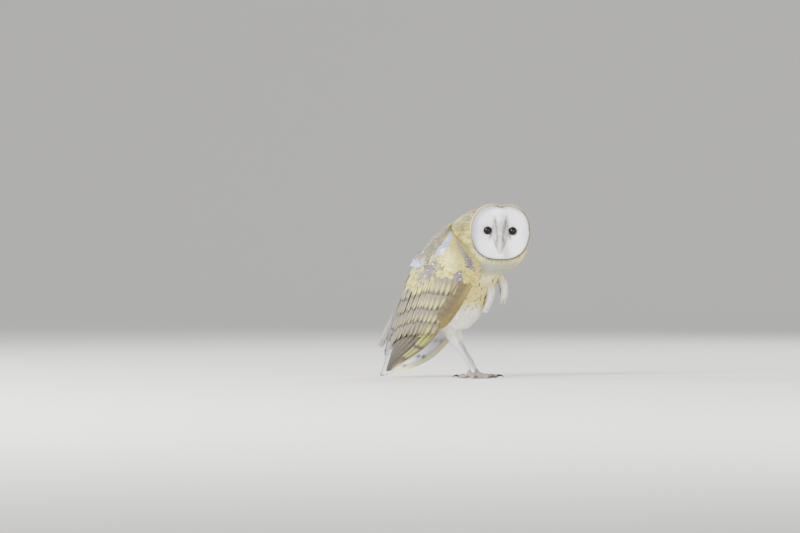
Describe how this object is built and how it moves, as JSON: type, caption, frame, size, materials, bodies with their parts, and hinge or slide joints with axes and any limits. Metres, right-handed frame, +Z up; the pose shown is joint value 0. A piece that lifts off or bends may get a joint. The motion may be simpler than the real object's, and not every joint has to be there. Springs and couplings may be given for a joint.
{
  "type": "barn owl",
  "caption": "Life-size barn owl standing as a still museum model: leaning forward, wings folded, heart-shaped white face turned to its right.",
  "frame": {"origin": "on the floor under the middle of the bird's bounding box", "axes": "+X where the body faces, +Y to the bird's left, +Z up"},
  "size_m": [0.2609, 0.1446, 0.2776],
  "materials": {
    "golden_plumage": "soft feathers, golden buff veiled with pale grey vermiculation and small white-and-dark spots",
    "buff_plumage": "soft feathers, pale buff with small dark dots and grey-brown bars",
    "white_plumage": "soft white feathers",
    "ruff_plumage": "short stiff feathers, white inside with brown and buff tips",
    "grey_plumage": "long vanes, grey-brown barred with golden buff, white beneath",
    "eye": "wet, near black",
    "bill_horn": "smooth pale pink horn",
    "foot_skin": "small dull scales with sparse bristles",
    "claw_horn": "smooth dark horn"
  },
  "bodies": {
    "root": {"head": "golden_plumage", "neck": "golden_plumage", "facial_ruff": "ruff_plumage", "facial_disc_right": "white_plumage", "eye_right": "eye", "facial_disc_left": "white_plumage", "eye_left": "eye", "upper_bill": "bill_horn", "lower_bill": "bill_horn", "trunk": "buff_plumage", "breast_tuft_right": "white_plumage", "breast_tuft_left": "white_plumage", "tail": "white_plumage", "leg_right_thigh": "white_plumage", "leg_right_tarsus": "white_plumage", "leg_right_foot": "foot_skin", "leg_right_claw_inner": "claw_horn", "leg_right_claw_middle": "claw_horn", "leg_right_claw_outer": "claw_horn", "leg_right_claw_hind": "claw_horn", "leg_left_thigh": "white_plumage", "leg_left_tarsus": "white_plumage", "leg_left_foot": "foot_skin", "leg_left_claw_inner": "claw_horn", "leg_left_claw_middle": "claw_horn", "leg_left_claw_outer": "claw_horn", "leg_left_claw_hind": "claw_horn", "wing_right_scapulars": "golden_plumage", "wing_right_coverts": "golden_plumage", "wing_right_alula": "golden_plumage", "wing_right_secondaries": "buff_plumage", "wing_right_primaries": "grey_plumage", "wing_left_scapulars": "golden_plumage", "wing_left_coverts": "golden_plumage", "wing_left_alula": "golden_plumage", "wing_left_secondaries": "buff_plumage", "wing_left_primaries": "grey_plumage"}
  },
  "joints": []
}
